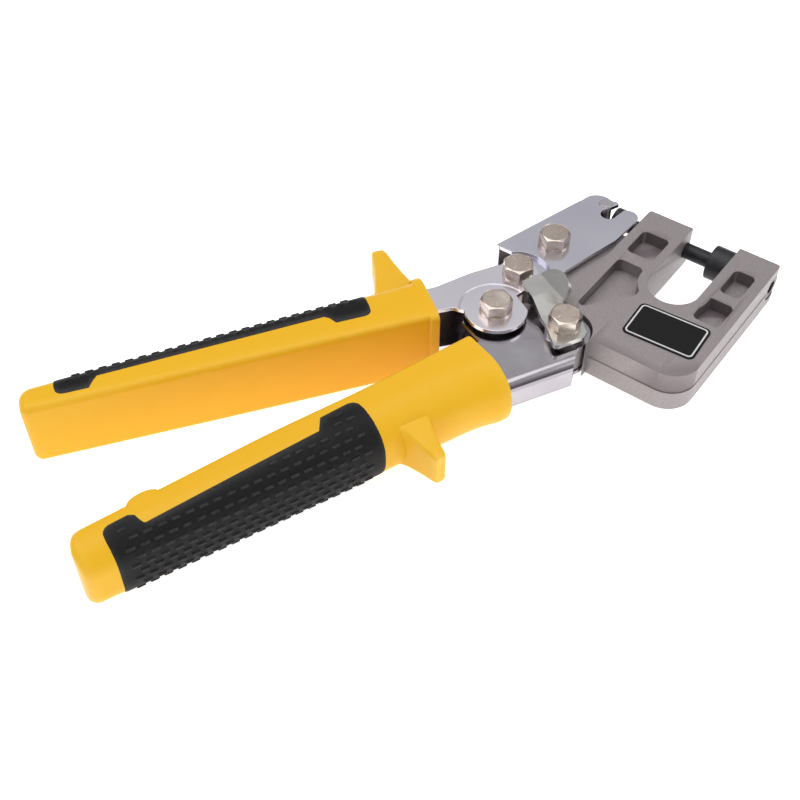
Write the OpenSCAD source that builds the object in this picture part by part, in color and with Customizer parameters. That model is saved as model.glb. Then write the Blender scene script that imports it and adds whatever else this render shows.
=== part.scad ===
// Metal stud punch pliers: two sprung handles close a four-bar linkage that
// drives a punch across a C shaped cast frame into a die.
// X runs along the frame's arms, Y across them towards the drive lever, Z up.
// The tool lies flat, handles closed and latched, with the punch on the die.

/* [Casting] */
// Thickness of the cast frame
cast_t = 16; // [14:0.5:18]
// Width across both arms
cast_w = 53; // [50:0.5:56]
// X of the arm tips
arm_tip_x = 135; // [130:1:140]
// X of the closed end of the frame
heel_x = 61; // [58:1:64]
// Width of the lever side arm
near_arm_w = 18; // [16:0.5:20]
// Width of the die side arm
far_arm_w = 16; // [15:0.5:18]
// X of the bottom of the throat
throat_x = 92.5; // [90:0.5:96]
// Depth of the lightening pockets
pocket_d = 5; // [3:0.5:6]
// Thickness of the tang that carries the pivots
tang_t = 12.8; // [12:0.2:13]

/* [Punching set] */
// Diameter of the punch
punch_d = 6; // [5:0.5:7]
// Diameter of the die
die_d = 13; // [11:0.5:14]
// Distance from the punch line to the arm tips
punch_back = 4.5; // [4:0.5:7]
// Diameter of the die screw's thread
die_screw_d = 10; // [8:1:12]

/* [Sheet metal] */
// Thickness of the channel steel
sheet_t = 1.5; // [1.2:0.1:1.8]
// Outside height of the upper handle's channel
upper_h = 19.6; // [19:0.2:20.4]
// Outside height of the lower handle's channel
lower_h = 13; // [12.6:0.2:13.2]
// Outside height of the drive lever's channel
lever_h = 19.2; // [19:0.2:19.4]

/* [Fasteners] */
// Diameter of the pivot bolts
bolt_d = 6; // [5:0.5:7]
// Width across the flats of heads and nuts
hex_af = 10; // [9:0.5:11]
// Height of a bolt head with its washer face
head_h = 4.8; // [4:0.1:5.5]

/* [Grips] */
// Height of a handle sleeve
sleeve_h = 28; // [26:0.5:30]
// Length of a handle sleeve
sleeve_l = 141; // [136:1:146]
// Width of a sleeve at its rear end
sleeve_rear_w = 12.7; // [11.7:0.5:15.7]
// Width of a sleeve at its front end
sleeve_front_w = 24; // [22:0.5:26]
// Depth of the soft pads set into the sleeves
pad_d = 1.6; // [1:0.1:2]

/* [Hidden] */
$fn = 72;

// Shift that puts the origin under the middle of the tool
home = [-15.474, -13.926, 0];
// Mid height of the tool, half of a sleeve
mid_z = sleeve_h / 2;
// Running clearance round a pin, on the radius
run = 0.05;
// Outer and inner faces of the two arms
near_y = -17.2;
far_y = near_y - cast_w;
near_in_y = near_y - near_arm_w;
far_in_y = far_y + far_arm_w;
throat_r = (near_in_y - far_in_y) / 2;
throat_y = (near_in_y + far_in_y) / 2;
// Punch line, die face and punch head face
punch_x = arm_tip_x + 1 - punch_back;
die_face_y = -46;
punch_head_y = -5;
// Pivots: frame to lower handle, frame to lever, handle to handle, handle to lever
p_frame = [60.3, -24.6];
p_lever = [95.2, 1.2];
p_handle = [52.6, -1.7];
p_link = [72.8, 2.4];
p_link_open = [74.1, -6.3];
// Lug radii
r_frame = 9.2;
r_handle = 11;
r_link = 7.4;
r_lever = 9.8;
// Drive pin of the lever
p_nose = [126.4, -2.5];
nose_d = 5;
// Headings of the two sleeves
upper_dir = -35;
lower_dir = -18;
// Bend radius of the handle channels
bend_r = 3.8;
// Latch levels
latch_t = 1.8;
latch_low_z = mid_z + 8.2;
latch_high_z = mid_z + 11.6;

// Point at distance s along a heading and n to its left
function on(dir, s, n) = [s * cos(dir) - n * sin(dir), s * sin(dir) + n * cos(dir)];
function up(s, n) = on(upper_dir, s, n);
function lo(s, n) = on(lower_dir, s, n);

// Flat link: two round ends joined by straight sides that just bite into them
module link_2d(p, rp, q, rq) {
    a = atan2(q[1] - p[1], q[0] - p[0]);
    b = acos((rp - rq) / norm(q - p));
    translate(p) circle(rp);
    translate(q) circle(rq);
    rotate_at(p, a) polygon([(rp - 0.12) * [cos(b), sin(b)], [norm(q - p), 0] + (rq - 0.12) * [cos(b), sin(b)],
        [norm(q - p), 0] + (rq - 0.12) * [cos(b), -sin(b)], (rp - 0.12) * [cos(b), -sin(b)]]);
}

module rotate_at(p, a) {
    translate(p) rotate(a) children();
}

// Strip of width w between two points, square ended
module strip_2d(p, q, w) {
    translate(p) rotate(atan2(q[1] - p[1], q[0] - p[0]))
        translate([0, -w / 2]) square([norm(q - p), w]);
}

// Rectangle with round corners between two opposite corners
module round_rect(x0, y0, x1, y1, r) {
    translate([x0 + r, y0]) square([x1 - x0 - 2 * r, y1 - y0]);
    translate([x0, y0 + r]) square([x1 - x0, y1 - y0 - 2 * r]);
    for (x = [x0 + r, x1 - r], y = [y0 + r, y1 - r]) translate([x, y]) circle(r);
}

// Slab centred on the tool's mid height
module slab(h) {
    translate([0, 0, mid_z - h / 2]) linear_extrude(h) children();
}

// A pair of equal plates, outer faces h apart
module plates(h) {
    for (z = [mid_z + h / 2 - sheet_t, mid_z - h / 2])
        translate([0, 0, z]) linear_extrude(sheet_t) children();
}

// Upright hole through everything
module bore(p, r) {
    translate([p[0], p[1], -5]) cylinder(r = r, h = sleeve_h + 20);
}

// Hex head bolt, the head's underside at top and the shank's end at bottom
module hex_bolt(p, top, bottom, turn) {
    corner = hex_af / cos(30);
    translate([p[0], p[1], top]) {
        cylinder(d = corner - 0.4, h = 0.6);
        translate([0, 0, 0.5]) rotate(turn) intersection() {
            cylinder(d = corner, h = head_h - 0.5, $fn = 6);
            union() {
                cylinder(d = corner, h = head_h - 1.1);
                translate([0, 0, head_h - 1.1])
                    cylinder(d1 = corner, d2 = hex_af * 0.94, h = 0.6);
            }
        }
    }
    translate([p[0], p[1], bottom]) cylinder(d = bolt_d, h = top - bottom + 0.1);
}

module hex_nut(p, z, h, turn) {
    translate([p[0], p[1], z]) rotate(turn) difference() {
        cylinder(d = hex_af / cos(30), h = h, $fn = 6);
        translate([0, 0, -1]) cylinder(d = bolt_d, h = h + 2);
    }
}

module washer(p, z, h, d, bore_r = bolt_d / 2 + run) {
    translate([p[0], p[1], z]) difference() {
        cylinder(d = d, h = h);
        translate([0, 0, -1]) cylinder(r = bore_r, h = h + 2);
    }
}

// Outline of the C frame at full thickness
module frame_2d() {
    difference() {
        union() {
            round_rect(heel_x, far_y, arm_tip_x, near_y, 1.2);
            translate([heel_x - 2.3, near_in_y + 0.5]) square([12, near_arm_w - 0.5]);
        }
        translate([heel_x - 1, far_y - 1]) square([11, 11]);
        translate([throat_x + throat_r, throat_y]) circle(throat_r);
        translate([throat_x + throat_r, far_in_y]) square([60, 2 * throat_r]);
    }
    translate([heel_x + 10, far_y + 10]) circle(10);
}

// Thinner tang that carries the two frame pivots
module tang_2d() {
    difference() {
        union() {
            link_2d(p_frame, 8.6, p_lever, r_lever);
            polygon([p_frame + [0, -6], [66, -30], [118, near_y - 1], [117.6, near_y + 2.2],
                [112, near_y + 3.4], [104, -5], p_lever, p_lever - [12, 0]]);
        }
        link_2d(p_link, 4.2, p_link_open, 4.2);
    }
}

module pockets_2d() {
    round_rect(109, near_in_y + 3.2, 123, near_y - 4, 2);
    round_rect(109.2, far_y + 4, 123.2, far_in_y - 4, 2);
    difference() {
        round_rect(91.6, far_y + 3.4, 104.4, far_in_y - 2.6, 2);
        translate([throat_x + throat_r, throat_y]) circle(throat_r + 3.6);
    }
    difference() {
        union() {
            polygon([[75.5, near_y - 4.3], [101.6, near_y - 4.3], [103.6, near_y - 6.2], [103.6, -30.4],
                [102, -32.3], [98.4, -33], [93, -35.9], [89.8, -35.9], [74, -24.2]]);
            translate([101.6, near_y - 6.3]) circle(2);
            translate([75.6, near_y - 6]) circle(1.7);
            translate([90.4, -34.6]) circle(1.5);
        }
        translate([throat_x + throat_r, throat_y]) circle(throat_r + 3.4);
    }
}

module cast_frame() color([0.58, 0.56, 0.57]) translate(home) difference() {
    union() {
        difference() {
            slab(cast_t) frame_2d();
            bore(p_frame, r_frame + 0.6);
            slab(40) polygon([p_frame, p_frame + [9.2, 3], [66, near_y - 4], [66, near_y + 5],
                [40, near_y + 5], [40, -24], [52, -24]]);
        }
        slab(tang_t) tang_2d();
        // parting line
        difference() {
            translate([98, throat_y, mid_z - 0.8]) linear_extrude(0.7) scale(1.007)
                translate([-98, -throat_y]) frame_2d();
            translate([50, near_in_y, 0]) cube([20, 40, 30]);
            translate([throat_x + throat_r, far_in_y, 0]) cube([60, 2 * throat_r, 30]);
        }
    }
    for (s = [mid_z + cast_t / 2 - pocket_d, mid_z - cast_t / 2 - 1])
        translate([0, 0, s]) linear_extrude(pocket_d + 1) pockets_2d();
    for (s = [mid_z + 4.8, mid_z - 24.8])
        translate([0, 0, s]) linear_extrude(20) link_2d(p_frame, r_frame + 0.6, p_handle, r_handle + 1.2);
    bore(p_frame, bolt_d / 2);
    bore(p_lever, bolt_d / 2);
    translate([punch_x, 0, mid_z]) {
        translate([0, near_in_y - 1, 0]) rotate([-90, 0, 0]) cylinder(r = punch_d / 2 + run, h = 30);
        translate([0, near_y - 6, 0]) rotate([-90, 0, 0]) cylinder(r = punch_d / 2 + 1.6, h = 10);
        translate([0, far_in_y + 1, 0]) rotate([90, 0, 0]) cylinder(d = 8, h = 12);
        translate([0, far_y - 1, 0]) rotate([-90, 0, 0]) cylinder(d = die_screw_d, h = 9);
    }
}

module label_plate() color([0.08, 0.08, 0.09]) translate(home)
    translate([80, -53.3, mid_z + cast_t / 2]) rotate(3.5) linear_extrude(0.3)
        round_rect(-8.6, -13.15, 8.6, 13.15, 2.2);

module die() color([0.1, 0.1, 0.11]) translate(home) translate([punch_x, far_in_y, mid_z]) {
    rotate([-90, 0, 0]) cylinder(d = die_d, h = die_face_y - far_in_y);
    translate([0, 0.1, 0]) rotate([90, 0, 0]) cylinder(d = 8, h = far_arm_w - 8 + 0.1);
}

module die_screw() color([0.55, 0.53, 0.5]) translate(home)
    translate([punch_x, far_y + 0.3, mid_z]) rotate([-90, 0, 0]) difference() {
        cylinder(d = die_screw_d, h = 7.7);
        translate([0, 0, -1]) cylinder(d = 5 / cos(30), h = 5, $fn = 6);
    }

// Punch: guided rod with a round head outside the arm
module punch() color([0.1, 0.1, 0.11]) translate(home)
    translate([punch_x, punch_head_y, mid_z]) rotate([90, 0, 0]) {
        cylinder(d = 10, h = 3);
        translate([0, 0, 2.9]) cylinder(d = punch_d, h = punch_head_y - die_face_y - 2.9);
    }

// Return spring seated in the arm's counterbore, round the punch
module punch_spring() color([0.6, 0.6, 0.62]) translate(home)
    translate([punch_x, near_y - 5.4, mid_z]) rotate([-90, 0, 0]) for (i = [0:4])
        translate([0, 0, i * 1.1]) rotate_extrude() translate([punch_d / 2 + 0.9, 0])
            circle(d = 1.15, $fn = 24);

// Side plates of the drive lever: two round prongs with a keyhole notch between
module lever_2d() {
    difference() {
        union() {
            polygon([[81.4, 17.5], [81.5, 9.7], [80, 0], [76.5, -8.7], [96.8, -13], [109.6, -16.1],
                [123.4, -16.6], [125, -12], [128, -9], [129.2, -6.2], [129.6, -0.2], [124.6, 5.5]]);
            translate([124.4, -13]) circle(3.9);
            translate([124, -0.4]) circle(6.05);
            translate([127.9, -5.2]) circle(1.9);
        }
        translate(p_link) circle(12);
        link_2d([121.5, -6.4], 2.9, [132, -9.4], 1.6);
    }
}

module drive_lever() color([0.75, 0.75, 0.79]) translate(home) difference() {
    union() {
        plates(lever_h) lever_2d();
        // web along the back
        slab(lever_h) strip_2d([81.4, 17.3 - sheet_t / 2], [122, 6.38 - sheet_t / 2], sheet_t);
        // tail lugs, riveted inside the side plates
        plates(lever_h - 2 * sheet_t) {
            link_2d(p_link, r_link, [80.4, 2.5], 7.7);
            polygon([[80, -4.4], [88.6, -6], [88.6, 9], [80, 9.4]]);
        }
    }
    link_slot();
    bore(p_lever, bolt_d / 2 + run);
    bore(p_nose, nose_d / 2);
}

// Slot that lets the link bolt wander a little in the lever's tail
module link_slot() {
    translate([0, 0, mid_z - 20]) linear_extrude(40)
        link_2d(p_link - [0.6, 0], bolt_d / 2 + 0.3, p_link + [0.6, 0], bolt_d / 2 + 0.3);
}

module lever_nose_pin() color([0.7, 0.7, 0.72]) translate(home)
    translate([p_nose[0], p_nose[1], mid_z - lever_h / 2 - 0.4]) cylinder(d = nose_d, h = lever_h + 0.8);

module lever_spacers() color([0.7, 0.7, 0.72]) translate(home)
    for (z = [mid_z + tang_t / 2, mid_z - lever_h / 2 + sheet_t])
        washer(p_lever, z, (lever_h - tang_t) / 2 - sheet_t, 12, bolt_d / 2);

module lever_pivot_bolt() color([0.72, 0.68, 0.62]) translate(home)
    hex_bolt(p_lever, mid_z + lever_h / 2, 0.6, 62);

module lever_pivot_nut() color([0.72, 0.68, 0.62]) translate(home)
    hex_nut(p_lever, 0, mid_z - lever_h / 2, 62);

module frame_pivot_bolt() color([0.72, 0.68, 0.62]) translate(home)
    hex_bolt(p_frame, latch_low_z + latch_t, 2.6, 8);

module frame_pivot_nut() color([0.72, 0.68, 0.62]) translate(home)
    hex_nut(p_frame, 2.5, mid_z - lower_h / 2 - 2.5, 8);

module latch_washer() color([0.7, 0.7, 0.72]) translate(home)
    washer(p_frame, mid_z + lower_h / 2, latch_low_z - mid_z - lower_h / 2, 13);

// Latch outline, seen from above
module latch_2d() {
    polygon([[65.6, -4.2], [66.6, -3.2], [71.6, -4.9], [73.7, -6.3], [67.2, -20.1], [66.5, -27],
        [62.6, -31.4], [61.4, -32.7], [59.2, -33.2], [50.2, -28.6], [49.5, -27.4],
        [50, -26.4], [56.4, -19.3]]);
    translate(p_frame) circle(6.2);
}

module lock_latch() color([0.75, 0.75, 0.78]) translate(home) {
    difference() {
        intersection() {
            translate([0, 0, latch_low_z]) linear_extrude(10) latch_2d();
            // strap seen from the side: flat round the bolt, a ramp, flat at the link
            translate([p_frame[0], p_frame[1], 0]) rotate([0, 0, 66]) translate([0, 20, 0])
                rotate([90, 0, 0]) linear_extrude(40)
                    polygon([[-20, latch_low_z], [6.9, latch_low_z], [14, latch_high_z],
                        [30, latch_high_z], [30, latch_high_z + latch_t],
                        [13.6, latch_high_z + latch_t], [6.5, latch_low_z + latch_t],
                        [-20, latch_low_z + latch_t]]);
        }
        bore(p_frame, bolt_d / 2 + run);
    }
    // thumb tab, a round flap leaning out from the strap's right edge, on a short upright
    translate([70.4, -13.15, latch_high_z + latch_t + 0.1]) rotate([0, 0, 64.8])
        rotate([90 + 45, 0, 0]) difference() {
            translate([0, -1.8, 0]) cylinder(r = 7.8, h = latch_t);
            translate([-10, -20.9, -1]) cube([20, 20, 4]);
        }
    intersection() {
        translate([0, 0, latch_low_z]) linear_extrude(latch_high_z + latch_t - latch_low_z)
            strip_2d([72.5, -6.96], [66.9, -18.9], 1.6);
        translate([p_frame[0], p_frame[1], 0]) rotate([0, 0, 66]) translate([0, 20, 0])
            rotate([90, 0, 0]) linear_extrude(40)
                polygon([[0, latch_low_z], [6.9, latch_low_z], [14, latch_high_z],
                    [30, latch_high_z], [30, latch_high_z + 9], [0, latch_high_z + 9]]);
    }
}

// Side plates of the lower handle
module lower_plate_2d() {
    difference() {
        union() {
            translate(p_frame) circle(r_frame);
            translate(p_handle) circle(r_handle);
            polygon([[43.2, 5.6], [39.5, -4.2], lo(30, 5.5), lo(-85, 5.5), lo(-85, -1.5), lo(27, -13.5),
                [48.8, -35.8], [56.3, -32.6], [68.5, -22.8], [62.5, 1.5], [50, 7.5]]);
        }
        bore_2d(p_frame, bolt_d / 2 + run);
        bore_2d(p_handle, bolt_d / 2 + run);
    }
}

module bore_2d(p, r) {
    translate(p) circle(r);
}

// Folded channel: plates and the web along the near side
// Cuts the two sharp edges of a wall p to q of height h to radius r, wall on the left
module round_edge(p, q, h, r) {
    for (s = [-1, 1]) translate([p[0], p[1], mid_z]) rotate(atan2(q[1] - p[1], q[0] - p[0]))
        rotate([90, 0, 90]) linear_extrude(norm(q - p) + 0.3) difference() {
            translate([-1, s * (h / 2 + 1) - (s > 0 ? 0.85 * r + 1 : 0)]) square(0.85 * r + 1);
            translate([r, s * (h / 2 - r)]) circle(r);
        }
}

module lower_handle() color([0.74, 0.74, 0.78]) translate(home) difference() {
    slab(lower_h) lower_plate_2d();
    slab(lower_h - 2 * sheet_t) polygon([lo(-95, 0.4), lo(27, -12),
        [49.56, -34.51], [56, -46], [95, -46], [95, 20], lo(-95, 40)]);
    round_edge([24, -22.54], [51.45, -37.21], lower_h, bend_r);
}

module handle_pivot_bolt() color([0.72, 0.68, 0.62]) translate(home)
    hex_bolt(p_handle, mid_z + upper_h / 2, 0.4, -53);

module handle_pivot_nut() color([0.72, 0.68, 0.62]) translate(home)
    hex_nut(p_handle, 0, mid_z - upper_h / 2, -53);

module handle_spacers() color([0.7, 0.7, 0.72]) translate(home)
    for (z = [mid_z + lower_h / 2, mid_z - upper_h / 2 + sheet_t])
        washer(p_handle, z, (upper_h - lower_h) / 2 - sheet_t, 14);

// Side plates of the upper handle, relieved round the latch
module upper_plate_2d() {
    difference() {
        union() {
            translate(p_handle) circle(r_handle);
            translate(p_link) circle(r_link);
            polygon([up(-88, 31), [40.3, 13.6], [44.3, 10.5], [46, 4], [50, -5], [59, -9.6], [74, -4],
                [74, 8], [72, 10.7], [62.6, 16], [49.1, 21.6], up(27, 45.9), up(-88, 39.5)]);
        }
        intersection() {
            translate(p_frame) circle(21);
            polygon([[62.8, -3.4], [54.2, -19.3], [58, -40], [90, -40], [90, 5], [66, 5]]);
        }
        bore_2d(p_handle, bolt_d / 2 + run);
        bore_2d(p_link, bolt_d / 2);
    }
}

// Folded channel: plates and the web along the far side, a coined ring round the pivot
module upper_handle() color([0.75, 0.75, 0.79]) translate(home) difference() {
    slab(upper_h) upper_plate_2d();
    slab(upper_h - 2 * sheet_t) polygon([up(-95, 37.6), up(27, 44.4), [48.6, 20.2], [61.9, 14.7],
        [70.1, 10.08], [72.5, 18], [95, 18], [95, -46], up(-95, -10)]);
    for (z = [mid_z + upper_h / 2 - 0.25, mid_z - upper_h / 2 - 0.75]) translate([0, 0, z])
        linear_extrude(1) difference() {
            translate(p_handle) circle(r_handle + 1.9);
            translate(p_handle) circle(r_handle + 1.4);
        }
}

module link_bolt() color([0.72, 0.68, 0.62]) translate(home)
    hex_bolt(p_link, mid_z + upper_h / 2, 0.4, 37);

module link_nut() color([0.72, 0.68, 0.62]) translate(home)
    hex_nut(p_link, 0, mid_z - upper_h / 2, 37);

// Sleeve body in its own frame: X forward, Y outward from the flat inner wall
module sleeve_body(l, w0, w1, r0, r1, inset) {
    hull() {
        for (s = [-1, 1]) {
            translate([inset + r0, w0 - r0 - inset, mid_z + s * (mid_z - 1.2 - r0 - inset)])
                sphere(r = r0, $fn = 32);
            translate([l - 1.5, w1 - r1 - inset, mid_z + s * (mid_z - r1 - inset)])
                rotate([0, 90, 0]) cylinder(r = r1, h = 1.5, $fn = 32);
        }
        translate([l - 12, 0, inset]) cube([12, 2, sleeve_h - 2 * inset]);
        translate([1 + inset, 0, 1.2 + inset]) cube([4, 2, sleeve_h - 2.4 - 2 * inset]);
        translate([inset, 0, 4]) cube([4, 3, sleeve_h - 8]);
    }
}

// Finger guard fin rising from the sleeve's outer side
module fin(base_x0, base_x1, base_y, tip_x, tip_y) {
    hull() {
        translate([base_x0, base_y, 4]) cube([base_x1 - base_x0, 1, sleeve_h - 8]);
        for (z = [10, sleeve_h - 10]) translate([tip_x, tip_y - 3, z]) sphere(r = 3, $fn = 24);
    }
}

module in_upper() translate(up(-116.6, 28)) rotate(upper_dir) children();
module in_lower() translate(lo(-112, 7.5)) rotate(lower_dir) mirror([0, 1, 0]) children();

// Where the soft pads sit, in the sleeves' own frames
module upper_pad_zone() {
    translate([11.6, 7.8, -1]) cube([107, 40, sleeve_h + 2]);
}

module lower_pad_zone() {
    translate([9.8, 6.9, -1]) cube([88.2, 40, sleeve_h + 2]);
}

module upper_sleeve() color([0.95, 0.72, 0.1]) translate(home) difference() {
    in_upper() {
        difference() {
            sleeve_body(sleeve_l - 0.9, sleeve_rear_w, sleeve_front_w - 1.4, 5, 6, 0);
            difference() {
                upper_pad_zone();
                sleeve_body(sleeve_l - 0.9, sleeve_rear_w, sleeve_front_w - 1.4, 5, 6, pad_d);
            }
        }
        fin(122.2, 139.1, sleeve_front_w - 5, 132.8, 48.8);
        translate([sleeve_l - 4.4, 8, 0]) cube([3.5, sleeve_front_w - 7, sleeve_h]);
    }
    slab(upper_h) upper_plate_solid_2d();
}

module lower_sleeve() color([0.95, 0.72, 0.1]) translate(home) difference() {
    in_lower() {
        difference() {
            sleeve_body(sleeve_l + 4, sleeve_rear_w - 0.7, sleeve_front_w + 0.8, 3.2, 10, 0);
            difference() {
                lower_pad_zone();
                sleeve_body(sleeve_l + 4, sleeve_rear_w - 0.7, sleeve_front_w + 0.8, 3.2, 10, pad_d);
            }
        }
        fin(104, 117, sleeve_front_w - 6, 110, 33.5);
        // inner wall swells towards the rear, with a bump for the fingers
        translate([0, 0, 1.2]) linear_extrude(sleeve_h - 2.4) {
            polygon([[3, 1], [3.6, -1.2], [5, -1.8], [60, -1.8], [117, 0.6], [117, 1]]);
            polygon([[20.5, -1.4], [22, -3.4], [24, -4], [27.5, -4], [29.5, -3.4], [31, -1.4]]);
        }
    }
    slab(lower_h) lower_plate_solid_2d();
}

module upper_plate_solid_2d() {
    polygon([up(-88, 31), up(25.2, 34.3), up(40, 34.3), up(40, 45.9), up(27, 45.9), up(-88, 39.5)]);
}

module lower_plate_solid_2d() {
    polygon([lo(-85, 5.5), lo(30, 5.5), lo(39, 8.4), lo(40, -17), lo(27, -13.5), lo(-85, -1.5)]);
}

module upper_grip_pad() color([0.09, 0.09, 0.09]) translate(home) in_upper() difference() {
    intersection() {
        sleeve_body(sleeve_l - 0.9, sleeve_rear_w, sleeve_front_w - 1.4, 5, 6, 0);
        upper_pad_zone();
    }
    sleeve_body(sleeve_l - 0.9, sleeve_rear_w, sleeve_front_w - 1.4, 5, 6, pad_d);
}

module lower_grip_pad() color([0.09, 0.09, 0.09]) translate(home) in_lower() difference() {
    intersection() {
        sleeve_body(sleeve_l + 4, sleeve_rear_w - 0.7, sleeve_front_w + 0.8, 3.2, 10, 0);
        lower_pad_zone();
    }
    sleeve_body(sleeve_l + 4, sleeve_rear_w - 0.7, sleeve_front_w + 0.8, 3.2, 10, pad_d);
}

cast_frame();
label_plate();
die();
die_screw();
punch();
punch_spring();
drive_lever();
lever_nose_pin();
lever_spacers();
lever_pivot_bolt();
lever_pivot_nut();
frame_pivot_bolt();
frame_pivot_nut();
latch_washer();
lock_latch();
lower_handle();
lower_sleeve();
lower_grip_pad();
handle_pivot_bolt();
handle_pivot_nut();
handle_spacers();
upper_handle();
upper_sleeve();
upper_grip_pad();
link_bolt();
link_nut();
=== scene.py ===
import math

import bmesh
import bpy
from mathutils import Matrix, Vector


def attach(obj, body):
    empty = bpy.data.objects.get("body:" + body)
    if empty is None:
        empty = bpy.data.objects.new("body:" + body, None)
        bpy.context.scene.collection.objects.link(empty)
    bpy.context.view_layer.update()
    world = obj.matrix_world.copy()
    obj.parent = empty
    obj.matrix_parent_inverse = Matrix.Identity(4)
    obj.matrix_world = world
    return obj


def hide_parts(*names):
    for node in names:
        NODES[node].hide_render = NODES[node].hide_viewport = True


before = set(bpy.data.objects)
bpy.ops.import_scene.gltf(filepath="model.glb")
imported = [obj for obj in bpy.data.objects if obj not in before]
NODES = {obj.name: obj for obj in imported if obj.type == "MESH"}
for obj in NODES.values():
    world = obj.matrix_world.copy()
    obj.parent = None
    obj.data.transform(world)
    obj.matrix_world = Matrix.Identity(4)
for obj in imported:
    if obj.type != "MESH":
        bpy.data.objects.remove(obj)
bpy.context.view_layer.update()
MM = 0.001
HOME = Vector((-15.474, -13.926, 0))  # the same offset as home in part.scad, in mm

MID_Z = 14              # half height of the sleeves
FLOOR_CLEARANCE = 0.03  # the lowest a sleeve's surface may come
BUMP_S = -86.5          # the finger bump of the lower sleeve, along its handle
DASH_LENGTH = 3.1       # raised dashes on the grip pads
DASH_HALF = 0.55
DASH_PITCH = 4.4
DASH_RISE = (0.2, 0.78)  # foot and top of a dash over the sleeve
PAD_COUNT = 30          # points over the round side of a pad
PATH_COUNT = 81         # points of the finer path that the dashes are set on


def P(x, y, z):
    """Drawing coordinates in mm to the row frame in metres."""
    return (Vector((x, y, z)) + HOME) * MM


# ---------------------------------------------------------------- materials
def lin(r, g, b):
    def f(c):
        c /= 255
        return c / 12.92 if c <= 0.04045 else ((c + 0.055) / 1.055) ** 2.4
    return (f(r), f(g), f(b), 1)


def material(name, dark, light, rough, rough_var=0.08, metal=0.0, grain=180.0, bump=0.02,
             wear=None, wear_amount=0.0, cloud=14.0, specular=0.5, fine=900.0, fine_bump=0.0):
    """Clouded base colour, grainy roughness and bump, and lighter worn edges if wear is given."""
    m = bpy.data.materials.new(name)
    m.use_nodes = True
    nt = m.node_tree
    n, l = nt.nodes, nt.links
    bsdf = n["Principled BSDF"]
    tc = n.new("ShaderNodeTexCoord")
    big = n.new("ShaderNodeTexNoise")
    big.inputs["Scale"].default_value = cloud
    big.inputs["Detail"].default_value = 4
    l.new(tc.outputs["Object"], big.inputs["Vector"])
    ramp = n.new("ShaderNodeMix")
    ramp.data_type = "RGBA"
    ramp.inputs[6].default_value = dark
    ramp.inputs[7].default_value = light
    l.new(big.outputs["Fac"], ramp.inputs[0])
    colour = ramp.outputs[2]
    small = n.new("ShaderNodeTexNoise")
    small.inputs["Scale"].default_value = grain
    small.inputs["Detail"].default_value = 3
    l.new(tc.outputs["Object"], small.inputs["Vector"])
    if wear is not None:
        geo = n.new("ShaderNodeNewGeometry")
        edge = n.new("ShaderNodeMapRange")
        edge.inputs["From Min"].default_value = 0.5
        edge.inputs["From Max"].default_value = 0.56
        edge.inputs["To Max"].default_value = wear_amount
        l.new(geo.outputs["Pointiness"], edge.inputs["Value"])
        gate = n.new("ShaderNodeMath")
        gate.operation = "MULTIPLY"
        l.new(edge.outputs["Result"], gate.inputs[0])
        l.new(small.outputs["Fac"], gate.inputs[1])
        worn = n.new("ShaderNodeMix")
        worn.data_type = "RGBA"
        worn.inputs[7].default_value = wear
        l.new(gate.outputs["Value"], worn.inputs[0])
        l.new(colour, worn.inputs[6])
        colour = worn.outputs[2]
    l.new(colour, bsdf.inputs["Base Color"])
    rr = n.new("ShaderNodeMapRange")
    rr.inputs["To Min"].default_value = rough - rough_var
    rr.inputs["To Max"].default_value = rough + rough_var
    l.new(small.outputs["Fac"], rr.inputs["Value"])
    l.new(rr.outputs["Result"], bsdf.inputs["Roughness"])
    bsdf.inputs["Metallic"].default_value = metal
    bsdf.inputs["Specular IOR Level"].default_value = specular
    bp = n.new("ShaderNodeBump")
    bp.inputs["Strength"].default_value = bump
    bp.inputs["Distance"].default_value = 0.0006
    l.new(small.outputs["Fac"], bp.inputs["Height"])
    last = bp
    if fine_bump:
        tiny = n.new("ShaderNodeTexNoise")
        tiny.inputs["Scale"].default_value = fine
        tiny.inputs["Detail"].default_value = 2
        l.new(tc.outputs["Object"], tiny.inputs["Vector"])
        b2 = n.new("ShaderNodeBump")
        b2.inputs["Strength"].default_value = fine_bump
        b2.inputs["Distance"].default_value = 0.0003
        l.new(tiny.outputs["Fac"], b2.inputs["Height"])
        l.new(bp.outputs["Normal"], b2.inputs["Normal"])
        last = b2
    l.new(last.outputs["Normal"], bsdf.inputs["Normal"])
    return m


YELLOW = material("yellow_shell", lin(224, 168, 12), lin(233, 180, 20), 0.42, 0.05, grain=260, bump=0.05,
                  wear=lin(250, 210, 96), wear_amount=0.5, specular=0.26, cloud=9)
BLACK = material("black_grip", lin(12, 12, 12), lin(18, 17, 17), 0.55, 0.08, grain=900, bump=0.12,
                 wear=lin(84, 82, 84), wear_amount=0.6, specular=0.16)
CAST = material("cast_alloy", lin(119, 109, 111), lin(124, 114, 116), 0.44, 0.04, metal=0.62, grain=2600,
                bump=0.3, wear=lin(190, 183, 182), wear_amount=0.8, fine=5200, fine_bump=0.2, cloud=25)
PLATE_A = material("steel_upper", lin(224, 218, 226), lin(234, 229, 237), 0.17, 0.05, metal=1.0, grain=60,
                   bump=0.05, wear=lin(245, 245, 248), wear_amount=0.3, cloud=30)
PLATE_B = material("steel_lower", lin(146, 140, 146), lin(164, 158, 164), 0.16, 0.05, metal=1.0, grain=60,
                   bump=0.05, wear=lin(240, 240, 244), wear_amount=0.4, cloud=30)
PLATE_C = material("steel_lever", lin(196, 194, 205), lin(214, 212, 223), 0.18, 0.05, metal=1.0, grain=70,
                   bump=0.06, wear=lin(240, 240, 244), wear_amount=0.4, cloud=26)
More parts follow.
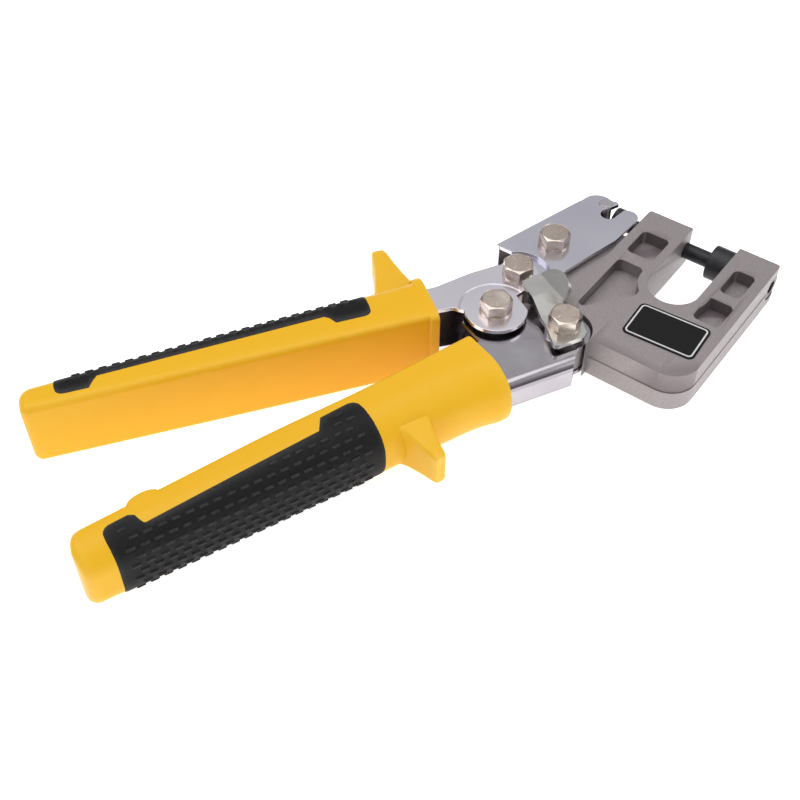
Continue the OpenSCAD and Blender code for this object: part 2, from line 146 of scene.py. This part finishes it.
ZINC = material("zinc_steel", lin(180, 174, 176), lin(198, 193, 195), 0.2, 0.06, metal=1.0, grain=110,
                bump=0.06, wear=lin(242, 242, 244), wear_amount=0.4)
LATCH = material("latch_steel", lin(172, 168, 163), lin(186, 182, 177), 0.2, 0.04, metal=1.0, grain=60,
                 bump=0.04, wear=lin(236, 236, 232), wear_amount=0.7)
NICKEL = material("nickel_steel", lin(172, 157, 146), lin(194, 179, 168), 0.28, 0.07, metal=1.0, grain=300,
                  bump=0.1, wear=lin(244, 236, 226), wear_amount=0.9)
OXIDE = material("black_oxide", lin(16, 15, 16), lin(24, 23, 25), 0.38, 0.08, metal=0.3, grain=500,
                 bump=0.1, wear=lin(92, 92, 98), wear_amount=0.5, specular=0.35)
GREY = material("grey_steel", lin(88, 82, 80), lin(108, 102, 99), 0.38, 0.08, metal=0.9, grain=400, bump=0.08)
SPRING = material("spring_steel", lin(150, 150, 154), lin(176, 176, 180), 0.28, 0.06, metal=1.0, grain=500,
                  bump=0.04)
LABEL = material("label_black", lin(7, 7, 8), lin(11, 10, 11), 0.4, 0.06, grain=600, bump=0.05, specular=0.2)
INK = material("label_border", lin(196, 194, 195), lin(212, 210, 211), 0.45, 0.08, grain=700, bump=0.05)


def paint(obj, mat):
    obj.data.materials.clear()
    obj.data.materials.append(mat)


# ---------------------------------------------------------------- mesh helpers
def add(name, bm, mat, body, stands_for=()):
    bmesh.ops.recalc_face_normals(bm, faces=bm.faces)
    me = bpy.data.meshes.new(name)
    bm.to_mesh(me)
    bm.free()
    ob = bpy.data.objects.new(name, me)
    bpy.context.scene.collection.objects.link(ob)
    paint(ob, mat)
    finish_edges(ob, 0.0)
    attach(ob, body)
    if stands_for:
        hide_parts(*stands_for)
    return ob


def finish_edges(ob, bevel, segs=2, angle=28):
    """Rounded edges of bevel mm, or split normals where there is no bevel."""
    for p in ob.data.polygons:
        p.use_smooth = True
    if bevel:
        b = ob.modifiers.new("edge", "BEVEL")
        b.width = bevel * MM
        b.segments = segs
        b.limit_method = "ANGLE"
        b.angle_limit = math.radians(angle)
        b.use_clamp_overlap = True
        b.harden_normals = True
    else:
        e = ob.modifiers.new("split", "EDGE_SPLIT")
        e.split_angle = math.radians(32)
        w = ob.modifiers.new("weighted", "WEIGHTED_NORMAL")
        w.keep_sharp = True


def extrude_poly(bm, pts, z0, z1):
    """Closed prism over 2D points (Vectors in metres, row frame)."""
    lo = [bm.verts.new((p[0], p[1], z0 * MM)) for p in pts]
    hi = [bm.verts.new((p[0], p[1], z1 * MM)) for p in pts]
    bm.faces.new(list(reversed(lo)))
    bm.faces.new(hi)
    k = len(pts)
    for i in range(k):
        bm.faces.new((lo[i], lo[(i + 1) % k], hi[(i + 1) % k], hi[i]))


def along(direction, s, n):
    a = math.radians(direction)
    return Vector((s * math.cos(a) - n * math.sin(a), s * math.sin(a) + n * math.cos(a)))


# ---------------------------------------------------------------- sleeves
# A section is a closed loop of (n from the inner wall, z), round on the outer side.
ARC = 9  # steps of the outer corner


def section(w, ro, ri, h0, h1):
    """Loop from the middle of the inner wall up, over the top, round the outside and back."""
    pts = [(0.0, h0 + (h1 - h0) * 0.5), (0.0, h1 - ri)]
    for i in range(1, 5):
        a = math.pi / 2 * i / 4
        pts.append((ri - ri * math.cos(a), h1 - ri + ri * math.sin(a)))
    pts += [(ri + (w - ro - ri) * t, h1) for t in (0.33, 0.66)]
    for i in range(ARC + 1):
        a = math.pi / 2 * i / ARC
        pts.append((w - ro + ro * math.sin(a), h1 - ro + ro * math.cos(a)))
    mirror = [(n, h0 + h1 - z) for n, z in reversed(pts[1:])]
    return pts + mirror


def loft(bm, loops):
    """Skin over loops with equal counts of points, closed at both ends."""
    rings = [[bm.verts.new(p) for p in loop] for loop in loops]
    k = len(rings[0])
    for a, b in zip(rings, rings[1:]):
        for i in range(k):
            bm.faces.new((a[i], a[(i + 1) % k], b[(i + 1) % k], b[i]))
    bm.faces.new(list(reversed(rings[0])))
    bm.faces.new(rings[-1])


def ease(x, a, b):
    t = max(0.0, min(1.0, (x - a) / (b - a)))
    return t * t * (3 - 2 * t)


def round_in(d, r):
    """How far a corner of radius r is in at distance d from its end."""
    return r - math.sqrt(max(r * r - (r - d) ** 2, 0)) if d < r else 0.0


class Sleeve:
    """One plastic sleeve: a heading, the inner wall's offset and side, and how it grows."""

    def __init__(self, direction, s0, s1, n0, side, w0, w1, r0, r1, swell, flare, end_in, end_out):
        self.direction, self.s0, self.s1, self.n0, self.side = direction, s0, s1, n0, side
        self.w0, self.w1, self.r0, self.r1 = w0, w1, r0, r1
        self.swell, self.flare = swell, flare
        self.end_in, self.end_out = end_in, end_out

    def point(self, s, u, z):
        q = along(self.direction, s, self.n0 + self.side * u)
        return P(q.x, q.y, max(z, FLOOR_CLEARANCE))

    def loop(self, s):
        """The section at s, drawn in at both ends and swollen on the inner wall."""
        t = (s - self.s0) / (self.s1 - self.s0)
        w = self.w0 + (self.w1 - self.w0) * t + self.flare(s)
        ro = self.r0 + (self.r1 - self.r0) * t
        d, e = s - self.s0, self.s1 - s
        inset_in, inset_out, inset = round_in(d, self.end_in), round_in(d, self.end_out), round_in(d, 3.0)
        if e < 0.8:
            inset_in = inset_out = inset = round_in(e, 0.8)
        h0, h1 = 0.3 + 1.0 * (1 - t) ** 2, 27.7 - 1.1 * (1 - t)
        pts = section(w, ro, 2.2, h0, h1)
        out = []
        mid = (h0 + h1) / 2
        for n, z in pts:
            k = (n, z)
            if inset or inset_in or inset_out:
                f = n / w
                k = (inset_in * (1 - f) + n - inset_out * f, mid + (z - mid) * (1 - inset / MID_Z))
            b = self.swell(s) * (1 - min(1, k[0] / 3.0))
            out.append((k[0] - b, k[1]))
        return out

    def stations(self):
        near = [0, 0.15, 0.4, 0.8, 1.4, 2.1, 3.0, 4.0, 5.2]
        s = [self.s0 + x for x in near]
        x = self.s0 + 7
        while x < self.s1 - 6:
            s.append(x)
            x += 3.0
        if self.side < 0:
            half = (0.3, 0.6, 0.82, 0.94, 0.99, 1.08)
            s = [v for v in s if abs(v - BUMP_S) > 6.2]
            s += [BUMP_S + 5.6 * v for v in [-v for v in reversed(half)] + [0] + list(half)]
        return sorted(s + [self.s1 - x for x in (5, 4, 3.85, 3.7, 3.5, 3.3, 2, 0.8, 0.45, 0.15, 0)])

    def path(self, s, u0, count, offset):
        """Points over the round side from u0 on the top face to u0 on the bottom one."""
        pts = self.loop(s)
        run = [Vector((n, z)) for n, z in pts[1:]]
        # start at the first crossing of u0 on the top face
        start = None
        for i in range(len(run) - 1):
            a, b = run[i], run[i + 1]
            if a.x <= u0 < b.x and a.y > MID_Z:
                f = (u0 - a.x) / (b.x - a.x)
                start = (i, a.lerp(b, f))
                break
        if start is None:
            start = (6, run[6])
        i0, p0 = start
        end = Vector((p0.x, pts[0][1] * 2 - p0.y))
        chain = [p0] + [q for q in run[i0 + 1:] if not (q.x <= u0 + 1e-6 and q.y < MID_Z)] + [end]
        lengths = [0.0]
        for a, b in zip(chain, chain[1:]):
            lengths.append(lengths[-1] + (b - a).length)
        total = lengths[-1]
        res = []
        for k in range(count):
            want = total * k / (count - 1)
            j = 0
            while j < len(chain) - 2 and lengths[j + 1] < want:
                j += 1
            seg = max(lengths[j + 1] - lengths[j], 1e-9)
            q = chain[j].lerp(chain[j + 1], min(1, (want - lengths[j]) / seg))
            tang = (chain[j + 1] - chain[j]).normalized()
            res.append((q + Vector((-tang.y, tang.x)) * offset, want))
        return res, total


UPPER = Sleeve(-35, -116.6, 23.5, 28, 1, 12.3, 22.5, 5.6, 7.5, lambda s: 0.7 * ease(s, 19.6, 20.2),
               lambda s: 2.2 * ease(s, 19.4, 20.4), 2.4, 4.8)
LOWER = Sleeve(-18, -112, 33, 7.5, -1, 11.9, 23.6, 8.6, 13.2,
               lambda s: 1.8 * (1 - ease(s, -52, 5)) + 2.2 * math.sqrt(max(0, 1 - ((s - BUMP_S) / 5.0) ** 2)),
               lambda s: 0.8 * ease(s, 18, 30) + 0.9 * ease(s, 26, 30), 5.0, 3.4)


def sleeve_mesh(sl, name, body, node, fin):
    bm = bmesh.new()
    loops = [[sl.point(s, n, z) for n, z in sl.loop(s)] for s in sl.stations()]
    loft(bm, loops)
    # finger guard: from s0..s1 at its root to t0..t1 at its tip, u0 to u1 out from the inner wall
    s0, s1, t0, t1, u0, u1, zb, zt = fin
    rings = []
    steps = 12
    for i in range(steps + 1):
        t = i / steps
        f = 1 - (1 - t) ** 1.35
        flare = 0.9 * (1 - min(1, t / 0.3)) ** 2
        a = s0 + (t0 - s0) * f - flare * 1.6
        b = s1 + (t1 - s1) * f + flare * 1.2
        lo = zb[0] + (zt[0] - zb[0]) * f
        hi = zb[1] + (zt[1] - zb[1]) * f
        shrink = 0.0
        if t > 0.9:
            shrink = 0.55 * ((t - 0.9) / 0.1) ** 2
        rr = 1.5
        ring = []
        corners = ((b - rr, hi - rr, 0), (a + rr, hi - rr, 90),
                   (a + rr, lo + rr, 180), (b - rr, lo + rr, 270))
        for cx, cz, st in corners:
            for k in range(4):
                ang = math.radians(st + 30 * k)
                ring.append((cx + (rr - shrink) * math.cos(ang), cz + (rr - shrink) * math.sin(ang)))
        u = u0 + (u1 - u0) * t
        rings.append([sl.point(p[0], u, p[1]) for p in ring])
    loft(bm, rings)
    return add(name, bm, YELLOW, body, (node,))


def pad_mesh(sl, name, body, node, s0, s1, edge, rows, row_gap):
    bm = bmesh.new()
    loops = []
    s_list = [s0, s0 + 0.3, s0 + 0.9, s0 + 1.8, s0 + 3, s0 + 4.5]
    x = s0 + 6
    while x < s1 - 5.5:
        s_list.append(x)
        x += 1.6
    s_list += [s1 - 4.5, s1 - 3, s1 - 1.8, s1 - 0.9, s1 - 0.3, s1]
    for s in s_list:
        d = min(s - s0, s1 - s)
        lift = 0.38 * math.sqrt(max(0, 1 - (1 - min(1, d / 0.9)) ** 2)) - 0.05
        outer, _ = sl.path(s, edge(s), PAD_COUNT, lift)
        inner, _ = sl.path(s, edge(s), PAD_COUNT, -0.8)
        ring = []
        for k, (q, _w) in enumerate(outer):
            if k in (0, PAD_COUNT - 1):
                q = inner[k][0].lerp(q, 0.75)
            ring.append(sl.point(s, q.x, q.y))
        ring += [sl.point(s, q.x, q.y) for q, _w in reversed(inner)]
        loops.append(ring)
    loft(bm, loops)
    # rows of short raised dashes, set out by arc length from the middle of the round side
    for r in range(rows):
        v = (r - (rows - 1) / 2) * row_gap
        s = s0 + 3.6 + (2.2 if r % 2 else 0)
        while s + DASH_LENGTH < s1 - 2.6:
            room = min(sl.path(e, edge(e), 3, 0)[1] / 2 - 2.2 for e in (s, s + DASH_LENGTH))
            if abs(v) < room:
                base, top = [], []
                for ds, dv in ((0, -DASH_HALF), (DASH_LENGTH, -DASH_HALF),
                               (DASH_LENGTH, DASH_HALF), (0, DASH_HALF)):
                    k = 0.35 if ds == 0 else -0.35
                    base.append(on_path(sl, bm, s + ds, edge, v + dv, DASH_RISE[0]))
                    top.append(on_path(sl, bm, s + ds + k, edge, v + dv * 0.55, DASH_RISE[1]))
                bm.faces.new(top)
                bm.faces.new(list(reversed(base)))
                for i in range(4):
                    j = (i + 1) % 4
                    bm.faces.new((base[i], base[j], top[j], top[i]))
            s += DASH_PITCH
    return add(name, bm, BLACK, body, (node,))


def on_path(sl, bm, s, edge, v, offset):
    """A new vertex at arc length v from the middle of the round side, offset out."""
    run, total = sl.path(s, edge(s), PATH_COUNT, offset)
    last = PATH_COUNT - 1
    x = max(0, min(last - 0.001, (0.5 + v / total) * last))
    q = run[int(x)][0].lerp(run[int(x) + 1][0], x - int(x))
    return bm.verts.new(sl.point(s, q.x, q.y))


def round_end(s, s0, s1, r):
    """Extra inset of a pad's edge so that its corners are round."""
    return round_in(min(s - s0, s1 - s), r)


def lower_edge(s):
    e = 7.7 - 4.9 * (1 - ease(s, -92, -90)) - 4.4 * ease(s, -30, -28)
    return e + round_end(s, -102.2, -14, 3.5)


def upper_edge(s):
    e = 8.2 + 0.042 * (s + 90)
    e += (3.6 - e) * (1 - ease(s, -94, -91.5)) + (7.4 - e) * ease(s, -13.5, -11)
    return e + round_end(s, -105, 2, 3.0)


sleeve_mesh(UPPER, "upper_shell", "upper_handle_body", "upper_sleeve",
            (5.6, 22.5, 13.2, 19.1, 18, 48.3, (3.5, 24.5), (8.5, 19.5)))
sleeve_mesh(LOWER, "lower_shell", "lower_handle_body", "lower_sleeve",
            (-8, 4.5, -4.5, 0, 16, 33.2, (4.5, 23.5), (7.5, 20.5)))
pad_mesh(UPPER, "upper_grip", "upper_handle_body", "upper_grip_pad", -105, 2, upper_edge, 11, 3.0)
pad_mesh(LOWER, "lower_grip", "lower_handle_body", "lower_grip_pad", -102.2, -14, lower_edge, 15, 3.1)


# ---------------------------------------------------------------- carried-over nodes
def carried(node, mat, bevel, segs=2, angle=28):
    ob = NODES[node]
    if "custom_normal" in ob.data.attributes:
        ob.data.attributes.remove(ob.data.attributes["custom_normal"])
    paint(ob, mat)
    w = ob.modifiers.new("weld", "WELD")
    w.merge_threshold = 2e-6
    d = ob.modifiers.new("planar", "DECIMATE")
    d.decimate_type = "DISSOLVE"
    d.angle_limit = math.radians(1.0)
    finish_edges(ob, bevel, segs, angle)
    return ob


carried("cast_frame", CAST, 0.9, 3)
carried("drive_lever", PLATE_C, 0.25)
carried("upper_handle", PLATE_A, 0.35)
carried("lower_handle", PLATE_B, 0.35)
carried("lock_latch", LATCH, 0.3, 3, 20)
for n in ("lever_pivot_bolt", "frame_pivot_bolt", "handle_pivot_bolt", "link_bolt"):
    carried(n, NICKEL, 0.22)
for n in ("lever_pivot_nut", "frame_pivot_nut", "handle_pivot_nut", "link_nut"):
    carried(n, NICKEL, 0.25)
for n in ("lever_spacers", "handle_spacers", "latch_washer", "lever_nose_pin"):
    carried(n, ZINC, 0.15)
for n in ("punch", "die"):
    carried(n, OXIDE, 0.3)
carried("die_screw", GREY, 0.2)
carried("punch_spring", SPRING, 0.0)
carried("label_plate", LABEL, 0.12)


# ---------------------------------------------------------------- label border
def rounded_rect(cx, cy, w, h, r, turn, steps=6):
    out = []
    for sx, sy, st in ((1, 1, 0), (-1, 1, 90), (-1, -1, 180), (1, -1, 270)):
        for k in range(steps + 1):
            a = math.radians(st + 90 * k / steps)
            x = sx * (w / 2 - r) + r * math.cos(a)
            y = sy * (h / 2 - r) + r * math.sin(a)
            t = math.radians(turn)
            out.append((cx + x * math.cos(t) - y * math.sin(t), cy + x * math.sin(t) + y * math.cos(t)))
    return out


def ring_prism(bm, outer, inner, z0, z1):
    k = len(outer)
    v = [[bm.verts.new(P(x, y, z)) for x, y in loop] for z in (z0, z1) for loop in (outer, inner)]
    o0, i0, o1, i1 = v
    for a in range(k):
        b = (a + 1) % k
        bm.faces.new((o0[a], o0[b], o1[b], o1[a]))
        bm.faces.new((i0[b], i0[a], i1[a], i1[b]))
        bm.faces.new((o1[a], o1[b], i1[b], i1[a]))
        bm.faces.new((o0[b], o0[a], i0[a], i0[b]))


bm = bmesh.new()
ring_prism(bm, rounded_rect(80, -53.3, 15.6, 24.7, 1.6, 3.5),
           rounded_rect(80, -53.3, 14.5, 23.6, 1.1, 3.5), 22.2, 22.36)
add("label_border", bm, INK, "frame")

# ---------------------------------------------------------------- bolt head marks
for name, centre, top, body, turn in (
        ("lever_bolt_marks", (95.2, 1.2), 28.4, "frame", 62),
        ("frame_bolt_marks", (60.3, -24.6), 28.8, "frame", 8),
        ("handle_bolt_marks", (52.6, -1.7), 28.6, "lower_handle_body", -53),
        ("link_bolt_marks", (72.8, 2.4), 28.6, "upper_handle_body", 37)):
    bm = bmesh.new()
    for k in range(3):
        a = math.radians(turn + 30 + 120 * k)
        d, e = Vector((math.cos(a), math.sin(a))), Vector((-math.sin(a), math.cos(a)))
        c = Vector(centre)
        pts = [c + d * 2.0 - e * 0.22, c + d * 3.9 - e * 0.22,
               c + d * 3.9 + e * 0.22, c + d * 2.0 + e * 0.22]
        extrude_poly(bm, [P(p.x, p.y, 0) for p in pts], top - 0.1, top + 0.14)
    add(name, bm, NICKEL, body)


# ---------------------------------------------------------------- studio
bm = bmesh.new()
bmesh.ops.create_grid(bm, x_segments=1, y_segments=1, size=6)
me = bpy.data.meshes.new("floor")
bm.to_mesh(me)
bm.free()
floor = bpy.data.objects.new("floor", me)
bpy.context.scene.collection.objects.link(floor)
floor.location.z = -0.0002
fm = bpy.data.materials.new("floor_white")
fm.use_nodes = True
fb = fm.node_tree.nodes["Principled BSDF"]
fb.inputs["Base Color"].default_value = (0.9, 0.9, 0.9, 1)
fb.inputs["Roughness"].default_value = 0.7
fb.inputs["Specular IOR Level"].default_value = 0.15
fb.inputs["Emission Color"].default_value = (1, 1, 1, 1)
fb.inputs["Emission Strength"].default_value = 0.8
me.materials.append(fm)


def area(name, loc, target, size, power, size_y=None):
    d = bpy.data.lights.new(name, "AREA")
    d.shape = "RECTANGLE"
    d.size, d.size_y = size, size_y or size
    d.energy = power
    o = bpy.data.objects.new(name, d)
    bpy.context.scene.collection.objects.link(o)
    o.location = loc
    o.rotation_euler = (Vector(target) - Vector(loc)).to_track_quat("-Z", "Y").to_euler()


# camera axes: right is +X turned -53 degrees, away from the camera is +37 degrees
area("top", (0.1, 0.1, 0.95), (0.02, 0, 0), 0.9, 4.3)
area("left", (-0.3, 0.6, 0.85), (0, 0, 0), 0.6, 1.5, 0.4)
area("front", (-0.75, -0.35, 0.45), (0, 0, 0.01), 0.6, 0.7, 0.4)
area("right", (0.45, -0.75, 0.6), (0.03, 0, 0), 0.6, 1.5, 0.5)

world = bpy.data.worlds.new("studio")
bpy.context.scene.world = world
world.use_nodes = True
wn, wl = world.node_tree.nodes, world.node_tree.links
bg = wn["Background"]
tc = wn.new("ShaderNodeTexCoord")
sep = wn.new("ShaderNodeSeparateXYZ")
ramp = wn.new("ShaderNodeValToRGB")
stops = ((0.0, 0.5), (0.12, 0.26), (0.35, 0.42), (0.62, 0.86), (0.8, 1.0), (1.0, 0.8))
while len(ramp.color_ramp.elements) < len(stops):
    ramp.color_ramp.elements.new(0.5)
for e, (pos, v) in zip(ramp.color_ramp.elements, stops):
    e.position = pos
    e.color = (v, v, v * 1.02, 1)
wl.new(tc.outputs["Generated"], sep.inputs["Vector"])
wl.new(sep.outputs["Z"], ramp.inputs["Fac"])
wl.new(ramp.outputs["Color"], bg.inputs["Color"])
bg.inputs["Strength"].default_value = 0.7

cam_data = bpy.data.cameras.new("camera")
cam = bpy.data.objects.new("camera", cam_data)
bpy.context.scene.collection.objects.link(cam)
bpy.context.scene.camera = cam
cam_data.lens = 51.75
cam_data.sensor_width = 36
cam.location = P(-199.6, -150.4, 294.8)
cam.rotation_euler = (P(0, 0, 22) - cam.location).to_track_quat("-Z", "Y").to_euler()
cam_data.clip_start, cam_data.clip_end = 0.01, 20

sc = bpy.context.scene
sc.view_settings.view_transform = "Standard"
sc.view_settings.look = "None"
sc.view_settings.exposure = 0.0
